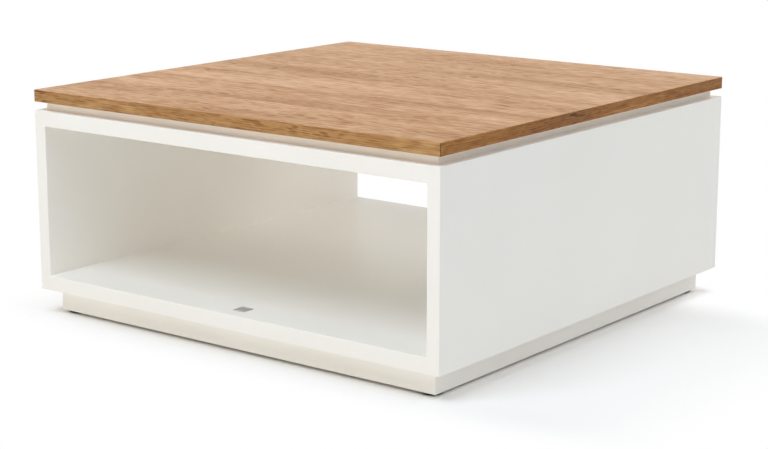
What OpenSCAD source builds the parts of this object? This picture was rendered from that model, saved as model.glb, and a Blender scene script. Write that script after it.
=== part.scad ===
// Square coffee table. An oak top floats on a recessed riser, above a white lacquered
// carcass that is open at the front and at the back and stands on a recessed plinth.
// X runs from left to right, Y from front to back and Z up.
// The origin is on the floor, under the middle of the table.

/* [Table] */
// Width of the table, from left to right
table_w = 900; // [700:10:1200]
// Depth of the table, from front to back
table_d = 900; // [700:10:1200]

/* [Oak top] */
// Thickness of the whole top
top_t = 22; // [20:1:30]
// Thickness of the veneer on each face of the top
veneer_t = 0.8; // [0.6:0.1:2]
// Width of the solid oak lippings round the core
lipping_w = 12; // [6:1:20]
// Radius of the eased edges of the top
top_arris = 1.5; // [0.5:0.1:3]

/* [Riser] */
// Height of the riser, which is the height of the shadow gap
riser_h = 15; // [8:1:30]
// Distance that the riser stands in from the edge of the top
riser_inset = 16; // [10:1:40]
// Width of the riser's rails
riser_rail_w = 60; // [50:1:100]

/* [Carcass] */
// Thickness of the top and bottom boards
board_t = 28; // [25:1:40]
// Thickness of the two side panels
side_t = 25; // [19:1:30]
// Clear height of the open compartment
niche_h = 275; // [200:5:350]
// Radius of the lacquered edges
carcass_arris = 1.2; // [0.5:0.1:3]

/* [Plinth] */
// Height of the plinth
plinth_h = 40; // [30:1:80]
// Distance that the plinth stands in from the edge of the carcass
plinth_inset = 26; // [10:1:60]
// Thickness of the plinth's rails
plinth_t = 18; // [15:1:28]
// Thickness of the brace across the middle of the plinth
brace_t = 18; // [15:1:40]
// Width of the corner blocks, along the plinth's rails
block_w = 90; // [80:5:140]

/* [Glides] */
// Thickness of the glides, which is the gap under the plinth
glide_h = 5; // [2:0.5:8]
// Diameter of the glides
glide_d = 38; // [26:1:40]
// Distance from the plinth's outer faces to the middle of a glide
glide_inset = 22; // [21:1:36]
// Diameter of the glide nails
nail_d = 2.5; // [2:0.1:4]
// Length of the glide nails, with the head
nail_l = 20; // [15:1:28]
// Diameter of the nail heads
nail_head_d = 6; // [5:0.5:9]
// Thickness of the nail heads
nail_head_t = 0.8; // [0.5:0.1:1.2]

/* [Dowels] */
// Diameter of the dowels in the carcass
dowel_d = 8; // [6:1:12]
// Length of the dowels
dowel_l = 40; // [30:1:60]
// Length of a dowel that sits in the top or bottom board
dowel_in_board = 16; // [12:1:20]
// Number of dowels along each end of a side panel
dowel_count = 7; // [3:1:12]
// Distance from the end of the panel to the first dowel
dowel_end = 60; // [30:5:120]

/* [Screws] */
// Diameter of the screws
screw_d = 5; // [4:0.5:6]
// Diameter of the countersunk screw heads
screw_head_d = 10; // [8:0.5:12]
// Height of the screw heads
screw_head_h = 3; // [2:0.5:5]
// Width across the flats of the socket in a screw head
socket_w = 3; // [2:0.5:4]
// Depth of the socket in a screw head
socket_h = 2; // [1:0.5:3]
// Length of the point of a screw
screw_point = 5; // [3:1:8]
// Depth that the upper screws reach into the oak top
top_bite = 13; // [8:1:15]
// Depth that the lower screws reach into the bottom board
plinth_bite = 18; // [12:1:22]
// Distance from the faces of a corner block to the middle of its screws
block_screw_edge = 15; // [12:1:20]
// Distance from the ends of the brace to its screws
brace_screw_end = 200; // [60:10:300]
// Diameter of the cover caps over the upper screws
cap_d = 14; // [13:1:20]
// Thickness of the cover caps
cap_t = 2; // [1:0.5:4]

/* [Fits] */
// Play all round a dowel, screw, nail or cap in its hole
fit = 0.1; // [0.05:0.05:0.3]
// Free depth past the end of a dowel, screw or nail
end_gap = 0.8; // [0.5:0.1:2]

/* [Hidden] */

$fn = 48;

// Sides of a frame, each a quarter turn on from the one before it
SIDES = ["front", "right", "back", "left"];
function turns(side) = search([side], SIDES)[0];

// Levels, from the floor up
plinth_z = glide_h;
carcass_z = plinth_z + plinth_h;
niche_z = carcass_z + board_t;
ceiling_z = niche_z + niche_h;
riser_z = ceiling_z + board_t;
top_z = riser_z + riser_h;
carcass_h = riser_z - carcass_z;

// Compartment between the side panels
niche_w = table_w - 2 * side_t;

// Core of the top, inside its lippings and veneers
core_w = table_w - 2 * lipping_w;
core_d = table_d - 2 * lipping_w;
core_z = top_z + veneer_t;
core_t = top_t - 2 * veneer_t;

// Outline of the riser, and the length of the rails between its front and back rails
riser_w = table_w - 2 * riser_inset;
riser_d = table_d - 2 * riser_inset;
riser_span = riser_d - 2 * riser_rail_w;

// Outline of the plinth, outside and inside its rails
plinth_w = table_w - 2 * plinth_inset;
plinth_d = table_d - 2 * plinth_inset;
plinth_inner_w = plinth_w - 2 * plinth_t;
plinth_inner_d = plinth_d - 2 * plinth_t;

// Dowels: the middle of a side panel, their places along it and their depth in each piece
dowel_x = table_w / 2 - side_t / 2;
dowel_step = (table_d - 2 * dowel_end) / (dowel_count - 1);
dowel_in_side = dowel_l - dowel_in_board;
dowel_chamfer = dowel_d / 8;

// Upper screws: the middle line of the riser's rails, and the seat of the heads
top_screw_x = riser_w / 2 - riser_rail_w / 2;
top_screw_y = riser_d / 2 - riser_rail_w / 2;
top_screw_z = ceiling_z + cap_t;
top_screw_l = top_z + top_bite - top_screw_z;

// Lower screws: the heads sit just inside the underside of the blocks and the brace
head_sink = 0.5;
plinth_screw_z = plinth_z + head_sink;
plinth_screw_l = carcass_z + plinth_bite - plinth_screw_z;

// A corner block's screws stand as far from its sloping face as from the plinth's rail:
// they lie on the line that halves its sharp corners
block_angle = 45;
block_screw_along = block_w - block_screw_edge / tan(block_angle / 2);

// Colours
OAK = [0.80, 0.64, 0.52];
OAK_EDGE = [0.62, 0.44, 0.28];
CORE = [0.76, 0.66, 0.50];
LACQUER = [0.91, 0.91, 0.90];
BEECH = [0.82, 0.68, 0.50];
STEEL = [0.72, 0.73, 0.75];
BLACK = [0.10, 0.10, 0.11];

// Rectangle with round corners, centred
module round_rect(w, h, r) {
    square([w - 2 * r, h], center = true);
    square([w, h - 2 * r], center = true);
    for (x = [-1, 1], y = [-1, 1])
        translate([x * (w / 2 - r), y * (h / 2 - r)])
            circle(r);
}

// Block on z = 0, centred in plan, with all its edges rounded
module eased_block(w, d, h, r) {
    intersection() {
        linear_extrude(h)
            round_rect(w, d, r);
        translate([0, d / 2, h / 2])
            rotate([90, 0, 0])
                linear_extrude(d)
                    round_rect(w, h, r);
        translate([-w / 2, 0, h / 2])
            rotate([90, 0, 90])
                linear_extrude(w)
                    round_rect(d, h, r);
    }
}

// Plain block on z = 0, centred in plan
module block(w, d, h) {
    translate([-w / 2, -d / 2, 0])
        cube([w, d, h]);
}

// Waste of a rounded edge: what a round of radius r takes off an edge along X
module edge_waste(length, r) {
    rotate([90, 0, 90])
        linear_extrude(length)
            difference() {
                square(r);
                translate([r, r])
                    circle(r);
            }
}

// Rail of a w by d frame, on the given side, cut at 45 degrees at both ends
module mitred_rail(side, w, d, t, h) {
    turned = turns(side) % 2 == 1;
    length = turned ? d : w;
    across = turned ? w : d;
    rotate(90 * turns(side))
        translate([0, -across / 2, 0])
            linear_extrude(h)
                polygon([
                    [-length / 2, 0], [length / 2, 0],
                    [length / 2 - t, t], [-length / 2 + t, t],
                ]);
}

// Pin on z = 0 that points up, with a chamfer at both ends
module dowel(d, l, chamfer) {
    rotate_extrude()
        polygon([
            [0, 0], [d / 2 - chamfer, 0], [d / 2, chamfer],
            [d / 2, l - chamfer], [d / 2 - chamfer, l], [0, l],
        ]);
}

// Countersunk screw that points up, its head's flat face on z = 0
module screw(l) {
    difference() {
        rotate_extrude()
            polygon([
                [0, 0], [screw_head_d / 2, 0], [screw_d / 2, screw_head_h],
                [screw_d / 2, l - screw_point], [0, l],
            ]);
        cylinder(h = 2 * socket_h, d = socket_w / cos(30), center = true, $fn = 6);
    }
}

// Hole for that screw, from its head's flat face up, with a chamfered mouth
module screw_hole(l) {
    cylinder(h = l + end_gap, d = screw_d + 2 * fit);
    rotate_extrude()
        polygon([
            [0, 0], [screw_head_d / 2 + fit, 0],
            [screw_d / 2 + fit, screw_head_h], [0, screw_head_h],
        ]);
}

// Repeats a piece at each upper screw: nine in a grid over the riser's rails
module at_top_screws() {
    for (x = [-1, 0, 1], y = [-1, 0, 1])
        translate([x * top_screw_x, y * top_screw_y, top_screw_z])
            children();
}

// Repeats a piece at each dowel's lower end, along both side panels
module at_dowels(z) {
    for (x = [-1, 1], i = [0 : dowel_count - 1])
        translate([x * dowel_x, -table_d / 2 + dowel_end + i * dowel_step, z])
            children();
}

// Repeats a piece in the four inner corners of the plinth, its legs turned inwards
module at_corners() {
    for (x = [0, 1], y = [0, 1])
        mirror([x, 0, 0])
            mirror([0, y, 0])
                translate([-plinth_inner_w / 2, -plinth_inner_d / 2, plinth_z])
                    children();
}

// Repeats a piece at each lower screw: two in a block and two in the brace
module at_plinth_screws() {
    at_corners() {
        translate([block_screw_along, block_screw_edge, head_sink])
            children();
        translate([block_screw_edge, block_screw_along, head_sink])
            children();
    }
    for (y = [-1, 1])
        translate([0, y * (plinth_inner_d / 2 - brace_screw_end), plinth_screw_z])
            children();
}

// Repeats a piece under the middle of each glide, on the floor
module at_glides() {
    for (x = [-1, 1], y = [-1, 1])
        translate([x * (plinth_w / 2 - glide_inset), y * (plinth_d / 2 - glide_inset), 0])
            children();
}

// Keeps the part of a piece that lies inside the top's eased outline
module ease_top() {
    intersection() {
        children();
        translate([0, 0, top_z])
            eased_block(table_w, table_d, top_t, top_arris);
    }
}

// Keeps the part of a piece that lies inside the carcass's eased outline
module ease_carcass() {
    intersection() {
        children();
        translate([0, 0, carcass_z])
            eased_block(table_w, table_d, carcass_h, carcass_arris);
    }
}

// Keeps the part of a piece that lies inside the plinth's eased corners
module ease_plinth() {
    intersection() {
        children();
        translate([0, 0, plinth_z])
            linear_extrude(plinth_h)
                round_rect(plinth_w, plinth_d, carcass_arris);
    }
}

// Waste of the rounds along the compartment's mouths, on the board below or above it
module board_mouth_waste(z, up) {
    for (y = [0, 1])
        mirror([0, y, 0])
            translate([-niche_w / 2, -table_d / 2, z])
                mirror([0, 0, up ? 0 : 1])
                    edge_waste(niche_w, carcass_arris);
}

// Face veneer of the top
module top_veneer() {
    color(OAK)
        ease_top()
            translate([0, 0, core_z + core_t])
                block(table_w, table_d, veneer_t);
}

// Balancing veneer under the top, drilled for the upper screws
module under_veneer() {
    color(OAK)
        difference() {
            ease_top()
                translate([0, 0, top_z])
                    block(table_w, table_d, veneer_t);
            at_top_screws()
                screw_hole(top_screw_l);
        }
}

// Core board of the top, with blind holes for the upper screws
module top_core() {
    color(CORE)
        difference() {
            translate([0, 0, core_z])
                block(core_w, core_d, core_t);
            at_top_screws()
                screw_hole(top_screw_l);
        }
}

// Solid oak lipping on one side of the core
module lipping(side) {
    color(OAK_EDGE)
        ease_top()
            translate([0, 0, core_z])
                mitred_rail(side, table_w, table_d, lipping_w, core_t);
}

module lipping_front() lipping("front");
module lipping_right() lipping("right");
module lipping_back() lipping("back");
module lipping_left() lipping("left");

// Long rail of the riser, at the front with y = -1 or at the back with y = 1
module riser_long(y) {
    color(LACQUER)
        difference() {
            translate([0, y * top_screw_y, riser_z])
                block(riser_w, riser_rail_w, riser_h);
            at_top_screws()
                screw_hole(top_screw_l);
        }
}

// Rail of the riser from the front to the back rail, with its middle line at x
module riser_short(x) {
    color(LACQUER)
        difference() {
            translate([x, 0, riser_z])
                block(riser_rail_w, riser_span, riser_h);
            at_top_screws()
                screw_hole(top_screw_l);
        }
}

module riser_front() riser_long(-1);
module riser_back() riser_long(1);
module riser_left() riser_short(-top_screw_x);
module riser_right() riser_short(top_screw_x);
module riser_middle() riser_short(0);

// Top board of the carcass, with dowel holes, screw holes and seats for the cover caps
module carcass_top() {
    color(LACQUER)
        difference() {
            ease_carcass()
                translate([0, 0, ceiling_z])
                    block(table_w, table_d, board_t);
            at_dowels(ceiling_z - fit)
                cylinder(h = dowel_in_board + end_gap + fit, d = dowel_d + 2 * fit);
            at_top_screws() {
                screw_hole(top_screw_l);
                translate([0, 0, -cap_t - fit])
                    cylinder(h = cap_t + fit, d = cap_d + 2 * fit);
            }
            board_mouth_waste(ceiling_z, true);
        }
}

// Bottom board of the carcass, with dowel holes and blind holes for the lower screws
module carcass_bottom() {
    color(LACQUER)
        difference() {
            ease_carcass()
                translate([0, 0, carcass_z])
                    block(table_w, table_d, board_t);
            at_dowels(niche_z - dowel_in_board - end_gap)
                cylinder(h = dowel_in_board + end_gap + fit, d = dowel_d + 2 * fit);
            at_plinth_screws()
                screw_hole(plinth_screw_l);
            board_mouth_waste(niche_z, false);
        }
}

// Side panel between the two boards, on the left with x = -1 or on the right with x = 1
module side_panel(x) {
    color(LACQUER)
        difference() {
            ease_carcass()
                translate([x * dowel_x, 0, niche_z])
                    block(side_t, table_d, niche_h);
            at_dowels(niche_z - fit)
                cylinder(h = dowel_in_side + end_gap + fit, d = dowel_d + 2 * fit);
            at_dowels(ceiling_z - dowel_in_side - end_gap)
                cylinder(h = dowel_in_side + end_gap + fit, d = dowel_d + 2 * fit);
            for (y = [0, 1])
                mirror([0, y, 0])
                    translate([x * niche_w / 2, -table_d / 2, niche_z])
                        mirror([x < 0 ? 1 : 0, 0, 0])
                            rotate([0, -90, 0])
                                mirror([0, 0, 1])
                                    edge_waste(niche_h, carcass_arris);
        }
}

module side_panel_left() side_panel(-1);
module side_panel_right() side_panel(1);

// Beech dowels in both ends of both side panels
module carcass_dowels() {
    color(BEECH) {
        at_dowels(ceiling_z - dowel_in_side)
            dowel(dowel_d, dowel_l, dowel_chamfer);
        at_dowels(niche_z - dowel_in_board)
            dowel(dowel_d, dowel_l, dowel_chamfer);
    }
}

// Screws that draw the top and the riser down onto the carcass
module top_screws() {
    color(STEEL)
        at_top_screws()
            screw(top_screw_l);
}

// Cover caps, flush with the compartment's ceiling
module screw_caps() {
    color(LACQUER)
        at_top_screws()
            translate([0, 0, -cap_t])
                cylinder(h = cap_t - fit, d = cap_d);
}

// Mitred rail of the plinth
module plinth_rail(side) {
    color(LACQUER)
        ease_plinth()
            translate([0, 0, plinth_z])
                mitred_rail(side, plinth_w, plinth_d, plinth_t, plinth_h);
}

module plinth_front() plinth_rail("front");
module plinth_right() plinth_rail("right");
module plinth_back() plinth_rail("back");
module plinth_left() plinth_rail("left");

// Brace from the front rail to the back rail, under the middle of the bottom board
module plinth_brace() {
    color(BEECH)
        difference() {
            translate([0, 0, plinth_z])
                block(brace_t, plinth_inner_d, plinth_h);
            plinth_screw_clearance();
        }
}

// Holes for the lower screws, open below their heads
module plinth_screw_clearance() {
    at_plinth_screws() {
        screw_hole(plinth_screw_l);
        translate([0, 0, -2 * head_sink])
            cylinder(h = 2 * head_sink, d = screw_head_d + 2 * fit);
    }
}

// Triangular blocks glued into the plinth's corners, drilled for screws and glide nails
module corner_blocks() {
    color(BEECH)
        difference() {
            at_corners()
                linear_extrude(plinth_h)
                    polygon([[0, 0], [block_w, 0], [0, block_w]]);
            plinth_screw_clearance();
            at_glides()
                cylinder(h = nail_head_t + nail_l + end_gap, d = nail_d + 2 * fit);
        }
}

// Screws through the blocks and the brace into the bottom board
module plinth_screws() {
    color(STEEL)
        at_plinth_screws()
            screw(plinth_screw_l);
}

// Round plastic glides, rounded at the floor and recessed for their nails
module glides() {
    color(BLACK)
        at_glides()
            rotate_extrude()
                difference() {
                    union() {
                        translate([0, glide_h / 2])
                            square([glide_d / 2, glide_h / 2]);
                        square([glide_d / 2 - glide_h / 2, glide_h]);
                        translate([glide_d / 2 - glide_h / 2, glide_h / 2])
                            circle(glide_h / 2);
                    }
                    square([nail_d / 2 + fit, glide_h]);
                    square([nail_head_d / 2 + fit, 2 * nail_head_t]);
                }
}

// Nails of the glides, their heads just clear of the floor
module glide_nails() {
    color(STEEL)
        at_glides()
            translate([0, 0, nail_head_t])
                rotate_extrude()
                    polygon([
                        [0, 0], [nail_head_d / 2, 0], [nail_head_d / 2, nail_head_t],
                        [nail_d / 2, nail_head_t], [nail_d / 2, nail_l - nail_d],
                        [0, nail_l],
                    ]);
}

top_veneer();
under_veneer();
top_core();
lipping_front();
lipping_right();
lipping_back();
lipping_left();
riser_front();
riser_back();
riser_left();
riser_right();
riser_middle();
carcass_top();
carcass_bottom();
side_panel_left();
side_panel_right();
carcass_dowels();
top_screws();
screw_caps();
plinth_front();
plinth_right();
plinth_back();
plinth_left();
plinth_brace();
corner_blocks();
plinth_screws();
glides();
glide_nails();
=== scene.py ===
# %% [markdown]
# # A coffee table with a floating oak top
#
# The table is a white lacquered box, open at the front and at the back. It stands on a
# plinth that steps in, and carries an oak top on a riser that steps in too, so that a
# shadow gap runs all round and the heavy top seems to float. All its boards are already
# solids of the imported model, so this script adds what a solid can't have: grain, lacquer,
# light, and a small metal plate on the floor of the compartment.
#
# A table could be modelled again here from scratch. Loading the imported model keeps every
# board exactly where the joiner's drawing puts it, in metres, with Z up.

# %% Load the table
import math

import bmesh
import bpy
from mathutils import Matrix, Vector


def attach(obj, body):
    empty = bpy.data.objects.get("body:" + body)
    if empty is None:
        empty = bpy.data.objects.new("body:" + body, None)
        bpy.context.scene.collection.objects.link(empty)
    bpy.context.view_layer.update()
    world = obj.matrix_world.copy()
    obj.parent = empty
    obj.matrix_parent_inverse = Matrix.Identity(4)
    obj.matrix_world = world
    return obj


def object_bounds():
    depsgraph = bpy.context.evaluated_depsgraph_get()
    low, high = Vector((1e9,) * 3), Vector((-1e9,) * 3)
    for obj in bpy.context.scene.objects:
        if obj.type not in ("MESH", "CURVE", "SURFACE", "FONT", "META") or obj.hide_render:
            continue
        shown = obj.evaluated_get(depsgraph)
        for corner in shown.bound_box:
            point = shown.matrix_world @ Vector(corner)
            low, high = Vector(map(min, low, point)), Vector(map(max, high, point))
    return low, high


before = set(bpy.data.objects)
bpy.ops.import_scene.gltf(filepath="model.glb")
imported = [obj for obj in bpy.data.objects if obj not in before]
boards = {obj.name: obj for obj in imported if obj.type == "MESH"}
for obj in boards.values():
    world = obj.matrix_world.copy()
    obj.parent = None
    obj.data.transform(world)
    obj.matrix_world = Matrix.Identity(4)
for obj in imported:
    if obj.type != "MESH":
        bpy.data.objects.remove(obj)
cad_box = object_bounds()
table_w = cad_box[1][0] - cad_box[0][0]
print("boards and fittings:", len(boards))
print("box of the solids in mm:", [[round(v * 1000, 1) for v in corner] for corner in cad_box])

# %% [markdown]
# ## The camera
#
# The photograph was taken from the right front corner, a little above the top, with a long
# lens: the sides of the table hardly run together. A camera is a place, a direction and a
# lens. The three came from matching the corners of the table in the picture, which is surer
# than turning the view by eye.
#
# Blender's camera looks down its own -Z axis. Turned by 90 degrees about X it looks level
# along +Y, so 90 degrees less the tilt points it down at the table.

# %% Place the camera
MM = 0.001
DEGREE = math.pi / 180
CAMERA_PLACE = (2.0656, -2.6810, 0.8992)   # in metres, from the floor under the table's middle
CAMERA_TILT = 12.53 * DEGREE               # it looks down by this much
CAMERA_TURN = 37.68 * DEGREE               # and is turned to the left by this much
LENS, FILM_W = 87.17, 36                   # focal length and width of the film, in mm

camera = bpy.data.objects.new("camera", bpy.data.cameras.new("camera"))
bpy.context.scene.collection.objects.link(camera)
camera.location = CAMERA_PLACE
camera.rotation_euler = (90 * DEGREE - CAMERA_TILT, 0, CAMERA_TURN)
camera.data.sensor_width = FILM_W
camera.data.lens = LENS
camera.data.clip_end = 100
bpy.context.scene.camera = camera
print("distance from the camera to the table:", round(camera.location.length, 2), "m")

# %% [markdown]
# ## Colour and nodes
#
# Colours are easiest to choose as the hex values of a paint chart. Those are sRGB, made for
# screens, while light adds up in linear values, so one function turns the first into the
# second.
#
# A material is a small machine of nodes. Writing one function that adds any node, sets its
# properties and joins its inputs keeps the script close to what the node editor shows: an
# input gets a number, another node, or one named output of it.

# %% Helpers for colours and nodes
def linear(hex_value):
    """Linear colour of an sRGB hex value such as #F2F1ED."""
    parts = [int(hex_value[i:i + 2], 16) / 255 for i in (1, 3, 5)]
    return tuple(p / 12.92 if p <= 0.04045 else ((p + 0.055) / 1.055) ** 2.4
                 for p in parts) + (1.0,)


def add(tree, kind, inputs=(), stops=(), **settings):
    """Adds a node. inputs: {socket: number, another node, or one of its outputs}."""
    node = tree.nodes.new("ShaderNode" + kind)
    for name, value in settings.items():
        setattr(node, name, value)
    for socket, value in dict(inputs).items():
        if isinstance(value, bpy.types.Node):
            value = next(out for out in value.outputs if out.enabled)
        if isinstance(value, bpy.types.NodeSocket):
            tree.links.new(value, node.inputs[socket])
        else:
            node.inputs[socket].default_value = value
    for i, (position, colour) in enumerate(stops):
        ramp = node.color_ramp.elements
        stop = ramp[i] if i < 2 else ramp.new(position)
        stop.position, stop.color = position, linear(colour)
    return node


def new_tree(owner):
    """Gives a material or world an empty node tree."""
    owner.use_nodes = True
    owner.node_tree.nodes.clear()
    return owner.node_tree


print("white paint #F2F1ED in linear values:", [round(v, 3) for v in linear("#F2F1ED")])

# %% [markdown]
# ## The studio
#
# A product studio is a white sweep of paper with soft lamps all round. The sky of the scene
# is the faint light that bounces about such a room. What the camera sees of it is plain
# white, also in reflections, so it needs two strengths: one for the light that it gives and
# one for the look that it has.

# %% Sky
SKY_STRENGTH = 0.12


def seen_directly(tree):
    """1 where the camera sees a surface itself, in a reflection or through glass, else 0."""
    path = add(tree, "LightPath").outputs
    seen = add(tree, "Math", {0: path["Is Camera Ray"], 1: path["Is Glossy Ray"]},
               operation="MAXIMUM")
    return add(tree, "Math", {0: seen, 1: path["Is Transmission Ray"]}, operation="MAXIMUM")


sky = new_tree(bpy.data.worlds.new("studio_sky"))
soft_light = add(sky, "Background", {"Color": (1, 1, 1, 1), "Strength": SKY_STRENGTH})
white_paper = add(sky, "Background", {"Color": (1, 1, 1, 1), "Strength": 1.0})
sky_mix = add(sky, "MixShader", {0: seen_directly(sky), 1: soft_light, 2: white_paper})
add(sky, "OutputWorld", {"Surface": sky_mix})
bpy.context.scene.world = bpy.data.worlds["studio_sky"]
bpy.context.scene.view_settings.view_transform = "Standard"
print("sky strength:", SKY_STRENGTH)

# %% [markdown]
# ## The lamps
#
# In the photograph the front of the compartment's floor is as bright as the front of the
# table, and a soft edge crosses it about 115 mm in, under a ceiling edge that is 275 mm
# higher. So the key lamp stands high up in front of the table. The far end of the tunnel is
# light too, so a broad lamp stands behind it, as if the paper there glowed. Only light that
# comes in nearly level gets under the top and onto the riser, so two long strips lie low in
# front of the table. One lamp high up beside each side keeps that side from going grey.
#
# A point or a sun would draw hard shadows; a wide lamp is what makes light soft. All of
# them are hidden from reflections, because in a paper sweep no square of light shows in the
# lacquer. The two strips near the floor are a little warm, like light that comes off wood.
# The key lamp and the one on the right are a little cool, which keeps the top and the right
# side from looking yellow beside them. A list of lamps and one loop are easier to balance
# than six cells, because light adds up: twice the watts is twice that lamp's share.

# %% Lamps
LAMP_AIM = Vector((0, 0, 0.2))
WARM, PLAIN, COOL, COLD = "#FFF1DE", "#FFFDFA", "#E8F3FF", "#DCECFF"
LAMPS = {
    # name: (direction from the table, metres away, width, height, watts, colour)
    "key": ((0.0, -0.65, 1.0), 4.0, 2.0, 2.0, 84, COOL),
    "corner_low": ((0.36, -0.93, 0.12), 6.0, 4.0, 1.2, 55, WARM),
    "left_low": ((-0.7, -0.7, 0.15), 6.0, 4.0, 1.5, 40, WARM),
    "left_high": ((-0.8, 0.1, 0.65), 6.0, 3.3, 3.3, 80, PLAIN),
    "right_high": ((1.0, 0.0, 1.1), 6.0, 3.3, 3.3, 82, COLD),
    "back_glow": ((0.24, 1.0, 0.31), 6.0, 4.3, 4.3, 240, PLAIN),
}
for name, (direction, away, width, height, watts, colour) in LAMPS.items():
    lamp = bpy.data.objects.new(name, bpy.data.lights.new(name, "AREA"))
    bpy.context.scene.collection.objects.link(lamp)
    lamp.location = LAMP_AIM + Vector(direction).normalized() * away
    lamp.rotation_euler = (LAMP_AIM - lamp.location).to_track_quat("-Z", "Y").to_euler()
    lamp.data.shape = "RECTANGLE"
    lamp.data.size, lamp.data.size_y = width, height
    lamp.data.energy = watts
    lamp.data.color = linear(colour)[:3]
    lamp.visible_camera = False
    lamp.visible_glossy = False
print("lamps:", len(LAMPS), "with", sum(lamp[4] for lamp in LAMPS.values()), "watts in all")

# %% [markdown]
# ## The floor
#
# The floor is a disc so wide that its edge is never seen. A disc made with one call is
# enough, because it only catches the shadow. Close to the table it is white paper lit by
# the lamps. Further out the paper turns, for the camera only, into plain white, so that it
# meets the sky without a line.
#
# Two patches keep their shading. One lies a little to the right of the table, where the
# shadow falls, and fades out softly. The other is the ground under the plinth, which must
# stay dark right up to its edge, or the table would seem to hover. A patch is a rectangle,
# because the distance to one is quick to work out along each axis.

# %% Floor
FLOOR_RADIUS = 40
SHADOW_MIDDLE = (0.12, -0.08, 0)  # middle of the paper that keeps its shadow, in metres
SHADOW_HALF = (0.40, 0.32, 0)     # half of its width and depth
SHADOW_STRETCH = (1, 2.5, 0)      # its border is this many times as steep along each axis
SHADOW_FADE = 0.33                # width of its border, to the sides
PLINTH_HALF = (0.424, 0.424, 0)   # half of the plinth's width and depth
PLINTH_FADE = 0.04
PAPER = "#FDFAF5"


def beyond(tree, spot, middle, half, stretch):
    """How far a point of the floor lies outside a rectangle. stretch: a factor for each axis."""
    spot = add(tree, "VectorMath", {0: spot, 1: middle}, operation="SUBTRACT")
    spot = add(tree, "VectorMath", {0: spot}, operation="ABSOLUTE")
    spot = add(tree, "VectorMath", {0: spot, 1: half}, operation="SUBTRACT")
    spot = add(tree, "VectorMath", {0: spot, 1: (0, 0, 0)}, operation="MAXIMUM")
    spot = add(tree, "VectorMath", {0: spot, 1: stretch}, operation="MULTIPLY")
    return add(tree, "VectorMath", {0: spot}, operation="LENGTH")


bm = bmesh.new()
bmesh.ops.create_circle(bm, cap_ends=True, segments=96, radius=FLOOR_RADIUS)
floor = bpy.data.objects.new("floor", bpy.data.meshes.new("floor"))
bm.to_mesh(floor.data)
bm.free()
bpy.context.scene.collection.objects.link(floor)

paper = new_tree(bpy.data.materials.new("paper_sweep"))
spot = add(paper, "TexCoord").outputs["Object"]
shadow_away = beyond(paper, spot, SHADOW_MIDDLE, SHADOW_HALF, SHADOW_STRETCH)
plinth_away = beyond(paper, spot, (0, 0, 0), PLINTH_HALF, (1, 1, 0))
plain = seen_directly(paper)
for away, fade in ((shadow_away, SHADOW_FADE), (plinth_away, PLINTH_FADE)):
    outside = add(paper, "MapRange", {0: away, 1: 0.0, 2: fade},
                  interpolation_type="SMOOTHSTEP")
    plain = add(paper, "Math", {0: plain, 1: outside}, operation="MULTIPLY")
lit_paper = add(paper, "BsdfDiffuse", {"Color": linear(PAPER)})
white_paper = add(paper, "Emission", {"Color": (1, 1, 1, 1), "Strength": 1.0})
paper_mix = add(paper, "MixShader", {0: plain, 1: lit_paper, 2: white_paper})
add(paper, "OutputMaterial", {"Surface": paper_mix})
floor.data.materials.append(bpy.data.materials["paper_sweep"])
print("floor radius:", FLOOR_RADIUS, "m")

# %% [markdown]
# ## Oak
#
# Oak is a ring-porous wood: each year starts with a band of wide open pores and ends with
# dense smooth fibres. Cut along the trunk, the pore bands show as fine dark dashes in long
# lines, and where the cut runs near the side of the trunk the lines close into tall arches.
#
# A picture of wood could be laid on the top, but it would repeat, and it would not match on
# the edges. Building the trunk itself is better: the distance of each point from the heart
# of the tree says in which year it grew, and the surface simply cuts through those rings.
# The grain runs along the pattern's X axis.

# %% Growth rings
RING = 3.6 * MM        # wood of one year
TAPER = 0.012          # a trunk gets this much thinner along its length
BEND = 20 * MM         # how far a trunk's rings swing out of line
BEND_W, BEND_L = 60 * MM, 230 * MM


def spots(tree, place, length, width, detail=2.0, roughness=0.5):
    """Noise whose spots are length long along the grain and width wide across it."""
    scaled = add(tree, "Mapping", {"Vector": place,
                                   "Scale": (0.5 / length, 0.5 / width, 0.5 / width)})
    return add(tree, "TexNoise", {"Vector": scaled, "Scale": 1.0, "Detail": detail,
                                  "Roughness": roughness})


def growth_rings(tree, place, bent):
    """Share of the year, 0 to 1, in which each point grew. The heart is the line Y = Z = 0."""
    part = add(tree, "SeparateXYZ", {0: place})
    section = add(tree, "CombineXYZ", {"X": part.outputs["Y"], "Y": part.outputs["Z"]})
    reach = add(tree, "VectorMath", {0: section}, operation="LENGTH")
    reach = add(tree, "Math", {0: part.outputs["X"], 1: TAPER, 2: reach}, operation="MULTIPLY_ADD")
    reach = add(tree, "Math", {0: bent, 1: BEND, 2: reach}, operation="MULTIPLY_ADD")
    years = add(tree, "Math", {0: reach, 1: 1 / RING}, operation="MULTIPLY")
    return add(tree, "Math", {0: years}, operation="FRACT")


print("rings across the top:", round(table_w / RING))

# %% [markdown]
# ## From rings to wood
#
# The face is sliced oak veneer under a matt oil. Slices of one log, the leaves, lie side by
# side with their grain from left to right. Each leaf came from another depth of the log, so
# each gets a shift of its own, drawn from its number: its arches and its tone then differ a
# little from its neighbour's.
#
# Pores only open in the early wood of a ring. Oil leaves them open: they stay darker,
# rougher and lower than the wood between them. Over all that lie long fibres, and clouds
# where the log was darker.

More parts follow.
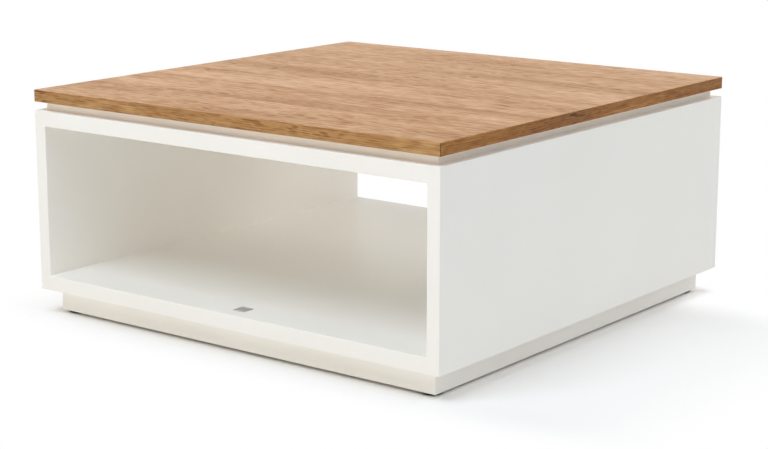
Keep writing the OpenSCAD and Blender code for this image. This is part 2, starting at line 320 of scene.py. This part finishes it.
# %% Oak under matt oil
PORE_W = 0.8 * MM      # real pores are 0.3 mm wide, drawn wider so that they show
PORE_L = 12 * MM
FIBRE_W, FIBRE_L = 2.5 * MM, 120 * MM
FLECK_W, FLECK_L = 3.6 * MM, 18 * MM
PATCH_W, PATCH_L = 45 * MM, 160 * MM
CLOUD_W, CLOUD_L = 48 * MM, 400 * MM
PORE_DEPTH = 0.08 * MM
OAK_ROUGH, PORE_ROUGH = 0.5, 0.75
MITRE_W = 0.7 * MM
RING_SHIFT = (4.0, 0.09, 0.04)   # how far apart in the log two leaves can be, in metres
FAR_SHIFT = (9.0, 9.0, 9.0)      # enough to give each leaf pores and fibres of its own


def mitre_line(tree, spot):
    """1 on the two diagonals of the table, where the lippings meet, and 0 elsewhere."""
    part = add(tree, "SeparateXYZ", {0: spot})
    reach = [add(tree, "Math", {0: part.outputs[axis]}, operation="ABSOLUTE") for axis in "XY"]
    apart = add(tree, "Math", {0: reach[0], 1: reach[1]}, operation="SUBTRACT")
    apart = add(tree, "Math", {0: apart}, operation="ABSOLUTE")
    return add(tree, "MapRange", {0: apart, 1: MITRE_W / 2, 2: 2 * MITRE_W, 3: 1.0, 4: 0.0})


def oak(name, turn, heart_z, leaf_w, tones, mitre_tone=0.0):
    """Oak with its grain along X, turned about Z. tones: its colours by tone, 0 the darkest."""
    material = bpy.data.materials.new(name)
    tree = new_tree(material)
    spot = add(tree, "TexCoord").outputs["Object"]
    place = add(tree, "Mapping", {"Vector": spot, "Location": (0, 0, -heart_z),
                                  "Rotation": (0, 0, turn)})
    part = add(tree, "SeparateXYZ", {0: place})

    # Number of the leaf, the chance values it draws, and the place inside the leaf
    column = add(tree, "Math", {0: part.outputs["Y"], 1: 1 / leaf_w}, operation="MULTIPLY")
    leaf = add(tree, "Math", {0: column}, operation="FLOOR")
    luck = add(tree, "TexWhiteNoise", {"W": leaf}, noise_dimensions="1D")
    inside = add(tree, "Math", {0: column, 1: leaf}, operation="SUBTRACT")
    inside = add(tree, "MapRange", {0: inside, 1: 0.0, 2: 1.0, 3: -leaf_w / 2, 4: leaf_w / 2})
    cut = add(tree, "CombineXYZ", {"X": part.outputs["X"], "Y": inside, "Z": part.outputs["Z"]})
    shift = add(tree, "VectorMath", {0: luck.outputs["Color"], 1: (-0.5, -0.5, -0.5)},
                operation="ADD")
    ring_shift = add(tree, "VectorMath", {0: shift, 1: RING_SHIFT}, operation="MULTIPLY")
    cut = add(tree, "VectorMath", {0: cut, 1: ring_shift}, operation="ADD")
    far_shift = add(tree, "VectorMath", {0: shift, 1: FAR_SHIFT}, operation="MULTIPLY")
    place = add(tree, "VectorMath", {0: place, 1: far_shift}, operation="ADD")

    bent = spots(tree, place, BEND_L, BEND_W, detail=3.0)
    year = growth_rings(tree, cut, bent)
    pore = spots(tree, place, PORE_L, PORE_W, detail=1.0)
    fibre = spots(tree, place, FIBRE_L, FIBRE_W, detail=4.0, roughness=0.6)
    fleck = spots(tree, place, FLECK_L, FLECK_W, detail=1.5)
    patch = spots(tree, place, PATCH_L, PATCH_W)
    cloud = spots(tree, place, CLOUD_L, CLOUD_W, detail=3.0)

    # Early wood opens the year, and its pores are densest where it starts
    early = add(tree, "MapRange", {0: year, 1: 0.0, 2: 0.5, 3: 1.0, 4: 0.0},
                interpolation_type="SMOOTHSTEP")
    turn_of_year = add(tree, "MapRange", {0: year, 1: 0.9, 2: 1.0, 3: 0.0, 4: 1.0})
    early = add(tree, "Math", {0: early, 1: turn_of_year}, operation="MAXIMUM")
    open_pore = add(tree, "MapRange", {0: pore, 1: 0.52, 2: 0.64})
    open_pore = add(tree, "Math", {0: open_pore, 1: early}, operation="MULTIPLY")

    # Dark flecks show only in some patches of the wood
    dark_fleck = add(tree, "MapRange", {0: fleck, 1: 0.54, 2: 0.66})
    in_patch = add(tree, "MapRange", {0: patch, 1: 0.50, 2: 0.62})
    dark_fleck = add(tree, "Math", {0: dark_fleck, 1: in_patch}, operation="MULTIPLY")

    # Tone: 1 is the palest wood, and each feature lowers or raises it
    tone = add(tree, "MapRange", {0: luck.outputs["Value"], 3: 0.65, 4: 0.75})
    for feature, swing in ((cloud, 0.20), (fibre, 0.12), (fleck, 0.22)):
        streak = add(tree, "MapRange", {0: feature, 1: 0.3, 2: 0.7, 3: -swing, 4: swing})
        tone = add(tree, "Math", {0: tone, 1: streak}, operation="ADD")
    for feature, drop in ((early, 0.08), (open_pore, 0.34), (dark_fleck, 0.75)):
        tone = add(tree, "Math", {0: feature, 1: -drop, 2: tone}, operation="MULTIPLY_ADD")
    if mitre_tone:
        tone = add(tree, "Math", {0: mitre_line(tree, spot), 1: -mitre_tone, 2: tone},
                   operation="MULTIPLY_ADD")
    colour = add(tree, "ValToRGB", {0: tone}, stops=tones)

    dull = add(tree, "MapRange", {0: open_pore, 3: OAK_ROUGH, 4: PORE_ROUGH})
    height = add(tree, "Math", {0: open_pore, 1: -1.0}, operation="MULTIPLY")
    normal = add(tree, "Bump", {"Height": height, "Distance": PORE_DEPTH, "Strength": 0.6})
    surface = add(tree, "BsdfPrincipled", {"Base Color": colour, "Roughness": dull,
                                           "IOR": 1.47, "Specular IOR Level": 0.35,
                                           "Normal": normal})
    add(tree, "OutputMaterial", {"Surface": surface})
    return material


# Oiled European oak veneer, sanded and wiped: warm tan, silky, with soft broad highlights
LEAF_W = 152 * MM
FACE_HEART_Z = 0.36        # height of the trunk's heart: 53 mm under the face
FACE_TONES = [(0.0, "#804C1D"), (1.0, "#E0B28B"), (0.35, "#A46E39"), (0.7, "#C8996D")]
oak_veneer = oak("oiled_oak_veneer", 0, FACE_HEART_Z, LEAF_W, FACE_TONES)
print("leaves of veneer across the top:", round(table_w / LEAF_W))

# %% [markdown]
# ## The lippings
#
# The edges are strips of solid oak, glued round the core and mitred at the corners. Solid
# wood that is sanded across its edge takes up more oil than the face does, so the edges are
# deeper and redder, with coarse streaks. The strips at the sides are turned, because their
# grain runs from front to back. Their tones are darker than those of the front and back
# strips: the same oak, with painted shade on the sides of the top.

# %% Solid oak lippings
STRIP_W = 120 * MM
EDGE_HEART_Z = 0.34
MITRE_TONE = 0.6           # how much darker the glue line of a mitre is
LONG_TONES = [(0.0, "#5D3613"), (1.0, "#C79E69"), (0.35, "#8F5E30"), (0.7, "#B28551")]
# The side strips' tones are the long strips' tones darkened: painted shade on the sides of the top
SIDE_TONES_WITH_PAINTED_SHADE = [(0.0, "#452308"), (1.0, "#B78347"), (0.35, "#784617"), (0.7, "#9B6424")]
lipping_long = oak("oiled_oak_lipping_long", 0, EDGE_HEART_Z, STRIP_W, LONG_TONES, MITRE_TONE)
lipping_side_painted_shade = oak("oiled_oak_lipping_side", 90 * DEGREE, EDGE_HEART_Z, STRIP_W, SIDE_TONES_WITH_PAINTED_SHADE,
                   MITRE_TONE)
print("oak materials:", oak_veneer.name, lipping_long.name, lipping_side_painted_shade.name)

# %% [markdown]
# ## White lacquer
#
# The boards of the carcass, riser and plinth are fibreboard, sprayed with a satin white
# lacquer and baked. Sprayed paint never lies quite flat: it keeps a soft ripple like the
# skin of an orange, which breaks up reflections. The ripple is a few millimetres wide and
# only microns high, so it goes into the bump and the gloss, not into the colour.

# %% Satin white lacquer
PEEL = 2.5 * MM


def sprayed(name, colours, rough, peel, peel_height):
    """Sprayed or moulded skin: two close colours that drift, and a fine ripple."""
    material = bpy.data.materials.new(name)
    tree = new_tree(material)
    spot = add(tree, "TexCoord").outputs["Object"]
    drift = add(tree, "TexNoise", {"Vector": spot, "Scale": 4.0, "Detail": 3.0})
    ripple = add(tree, "TexNoise", {"Vector": spot, "Scale": 0.5 / peel, "Detail": 1.0})
    colour = add(tree, "ValToRGB", {0: drift}, stops=colours)
    gloss = add(tree, "MapRange", {0: drift, 1: 0.3, 2: 0.7, 3: rough - 0.03, 4: rough + 0.03})
    normal = add(tree, "Bump", {"Height": ripple, "Distance": peel_height, "Strength": 0.5})
    surface = add(tree, "BsdfPrincipled", {"Base Color": colour, "Roughness": gloss,
                                           "IOR": 1.5, "Normal": normal})
    add(tree, "OutputMaterial", {"Surface": surface})
    return material


# Two-pack polyurethane lacquer, sprayed and baked: clean white, satin, soft reflections
lacquer = sprayed("satin_white_lacquer", [(0.3, "#F9F6EF"), (0.7, "#FCF9F3")], 0.38, PEEL,
                  0.03 * MM)
# Moulded polypropylene: the caps' white is a shade warmer and duller than the lacquer
cap_plastic = sprayed("white_polypropylene", [(0.3, "#ECEBE4"), (0.7, "#F0EFE9")], 0.5,
                      1.2 * MM, 0.02 * MM)
# Moulded polyethylene: black that looks dark grey, because its fine grain scatters light
glide_plastic = sprayed("black_polyethylene", [(0.3, "#161617"), (0.7, "#1D1D1F")], 0.55,
                        1.0 * MM, 0.03 * MM)
print("lacquer ripple:", PEEL / MM, "mm")

# %% [markdown]
# ## Core, beech and steel
#
# These pieces hide inside the table, but they show as soon as it is turned over or taken
# apart. Fibreboard is a brown felt of short fibres. Beech is pale pink with tiny flecks.
# Zinc on a screw grows in crystals, which show as soft patches of light and dark grey.

# %% Inner materials
def fibrous(name, spot_l, spot_w, colours, rough, metallic=0.0):
    """A surface of long or round spots of close colours."""
    material = bpy.data.materials.new(name)
    tree = new_tree(material)
    spot = add(tree, "TexCoord").outputs["Object"]
    dapple = spots(tree, spot, spot_l, spot_w, detail=4.0, roughness=0.65)
    colour = add(tree, "ValToRGB", {0: dapple}, stops=colours)
    gloss = add(tree, "MapRange", {0: dapple, 1: 0.3, 2: 0.7, 3: rough + 0.05, 4: rough - 0.05})
    normal = add(tree, "Bump", {"Height": dapple, "Distance": 0.05 * MM, "Strength": 0.5})
    surface = add(tree, "BsdfPrincipled", {"Base Color": colour, "Roughness": gloss,
                                           "Metallic": metallic, "Normal": normal})
    add(tree, "OutputMaterial", {"Surface": surface})
    return material


# Pressed fibreboard, sawn: even brown felt, quite dull
fibreboard = fibrous("fibreboard", 2.5 * MM, 1.0 * MM,
                     [(0.3, "#A98A5E"), (0.7, "#C6A97E")], 0.8)
# Planed beech: pale pinkish wood with flecks 3 mm long
beech = fibrous("planed_beech", 3 * MM, 0.8 * MM, [(0.3, "#BE9468"), (0.7, "#DDBB92")], 0.6)
# Zinc-plated steel: cool grey metal with cloudy crystals
zinc = fibrous("zinc_plated_steel", 1.5 * MM, 1.5 * MM,
               [(0.3, "#A3A6AA"), (0.7, "#C4C7CB")], 0.35, metallic=1.0)
print("inner materials:", fibreboard.name, beech.name, zinc.name)

# %% [markdown]
# ## Dressing the boards
#
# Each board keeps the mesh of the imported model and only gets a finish. One table of finishes
# is easier to read than a cell for every board, and it shows at a glance what is made of
# what. A slot of a mesh holds one material, so the finish takes the place of the flat colour
# that the slot came with.

# %% Dress the boards
FINISHES = {
    oak_veneer: ["top_veneer", "under_veneer"],
    lipping_long: ["lipping_front", "lipping_back"],
    lipping_side_painted_shade: ["lipping_left", "lipping_right"],
    lacquer: ["riser_front", "riser_back", "riser_left", "riser_right", "riser_middle",
              "carcass_top", "carcass_bottom", "side_panel_left", "side_panel_right",
              "plinth_front", "plinth_right", "plinth_back", "plinth_left"],
    cap_plastic: ["screw_caps"],
    glide_plastic: ["glides"],
    fibreboard: ["top_core"],
    beech: ["carcass_dowels", "plinth_brace", "corner_blocks"],
    zinc: ["top_screws", "plinth_screws", "glide_nails"],
}
for finish, names in FINISHES.items():
    for name in names:
        for slot in boards[name].material_slots:
            slot.material = finish
print("dressed:", sum(len(names) for names in FINISHES.values()), "of", len(boards))

# %% [markdown]
# ## The metal plate
#
# A small square plate lies on the floor of the compartment, its middle 37 mm behind the
# front edge. Such plates are stamped from steel with a raised rim, brushed and glued down.
# This one has a plain face.
#
# It could be drawn with a line and extruded, but a cube made flat and then worked on is
# quicker: first its four upright edges are bevelled, which gives the round corners of the
# stamp, then the upper rim, which is what catches the light. Last the upper face is inset
# and pushed down a little.

# %% Bare metal plate
PLATE_W = 25 * MM
PLATE_T = 1.2 * MM
CORNER_R, EDGE_R = 1.5 * MM, 0.35 * MM
RIM_W, RIM_H = 2.5 * MM, 0.4 * MM
PLATE_PLACE = Vector((0.012, -0.413, 0.073))   # its underside, on the compartment's floor

bm = bmesh.new()
bmesh.ops.create_cube(bm, size=1.0, matrix=Matrix.Diagonal((PLATE_W, PLATE_W, PLATE_T, 1)))
upright = [e for e in bm.edges if abs(e.verts[0].co.z - e.verts[1].co.z) > PLATE_T / 2]
bmesh.ops.bevel(bm, geom=upright, affect="EDGES", offset=CORNER_R, segments=6, profile=0.5,
                material=-1)
rim = [e for e in bm.edges if all(v.co.z > 0 for v in e.verts)]
bmesh.ops.bevel(bm, geom=rim, affect="EDGES", offset=EDGE_R, segments=4, profile=0.5,
                material=-1)
upper = max(bm.faces, key=lambda face: face.calc_center_median().z)
bmesh.ops.inset_region(bm, faces=[upper], thickness=RIM_W, depth=0)
bmesh.ops.inset_region(bm, faces=[upper], thickness=RIM_H, depth=-RIM_H)
bmesh.ops.translate(bm, verts=bm.verts, vec=PLATE_PLACE + Vector((0, 0, PLATE_T / 2)))
plate = bpy.data.objects.new("floor_plate", bpy.data.meshes.new("floor_plate"))
bm.to_mesh(plate.data)
bm.free()
bpy.context.scene.collection.objects.link(plate)

# Brushed steel: long fine scratches, drawn 0.3 mm wide, that spread its highlights
scratched = fibrous("brushed_steel", 12 * MM, 0.3 * MM,
                    [(0.3, "#C4C5C5"), (0.7, "#E6E7E6")], 0.38, metallic=1.0)
plate.data.materials.append(scratched)
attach(plate, "root")
print("plate faces:", len(plate.data.polygons))

# %% [markdown]
# ## Finish
#

# %% Finish
print("end of the script")
